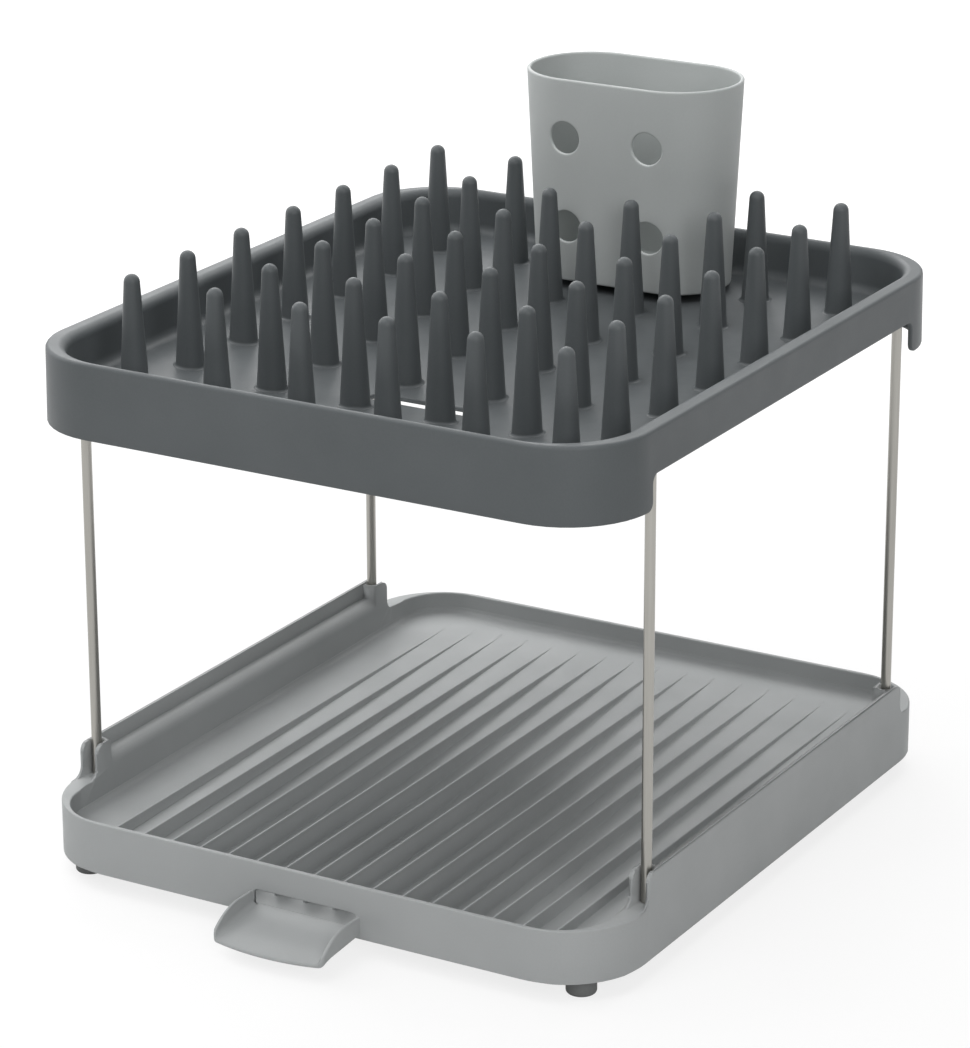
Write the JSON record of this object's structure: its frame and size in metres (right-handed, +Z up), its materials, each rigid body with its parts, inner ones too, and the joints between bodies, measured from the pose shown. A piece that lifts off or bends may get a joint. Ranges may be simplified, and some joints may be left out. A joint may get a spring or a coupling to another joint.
{
  "type": "two-tier dish rack",
  "caption": "Two-tier dish rack: ribbed draining base with a pouring spout, wire legs, a pegged upper tray with a drain slot, and a cutlery cup that lifts off.",
  "frame": {"origin": "middle of the rack's outline, chute included, on the surface that its feet stand on", "axes": "+Z up, -Y towards the front with the pouring spout, +X to the right seen from the front"},
  "size_m": [0.3, 0.3762, 0.3339],
  "materials": {
    "base_plastic": "light grey polypropylene with a fine moulded grain",
    "foot_rubber": "dark grey rubber, matt",
    "leg_steel": "drawn stainless wire, satin",
    "tray_plastic": "dark grey polypropylene with a fine moulded grain",
    "cup_plastic": "mid grey polypropylene, satin"
  },
  "bodies": {
    "base": {"base_tray": "base_plastic", "drain_ribs": "base_plastic", "pour_spout": "base_plastic", "foot_fl": "foot_rubber", "foot_fr": "foot_rubber", "foot_bl": "foot_rubber", "foot_br": "foot_rubber"},
    "legs": {"left_leg": "leg_steel", "right_leg": "leg_steel"},
    "tier": {"peg_tray": "tray_plastic", "plate_pegs": "tray_plastic"},
    "cup": {"cutlery_cup": "cup_plastic"}
  },
  "joints": [
    {"name": "legs_lift", "type": "slide", "parent": "base", "child": "legs", "axis": [0, 0, 1], "range_m": [0, 0.06]},
    {"name": "tier_lift", "type": "slide", "parent": "legs", "child": "tier", "axis": [0, 0, 1], "range_m": [0, 0.08]},
    {"name": "cup_lift", "type": "slide", "parent": "tier", "child": "cup", "axis": [0, 0, 1], "range_m": [0, 0.09]}
  ]
}
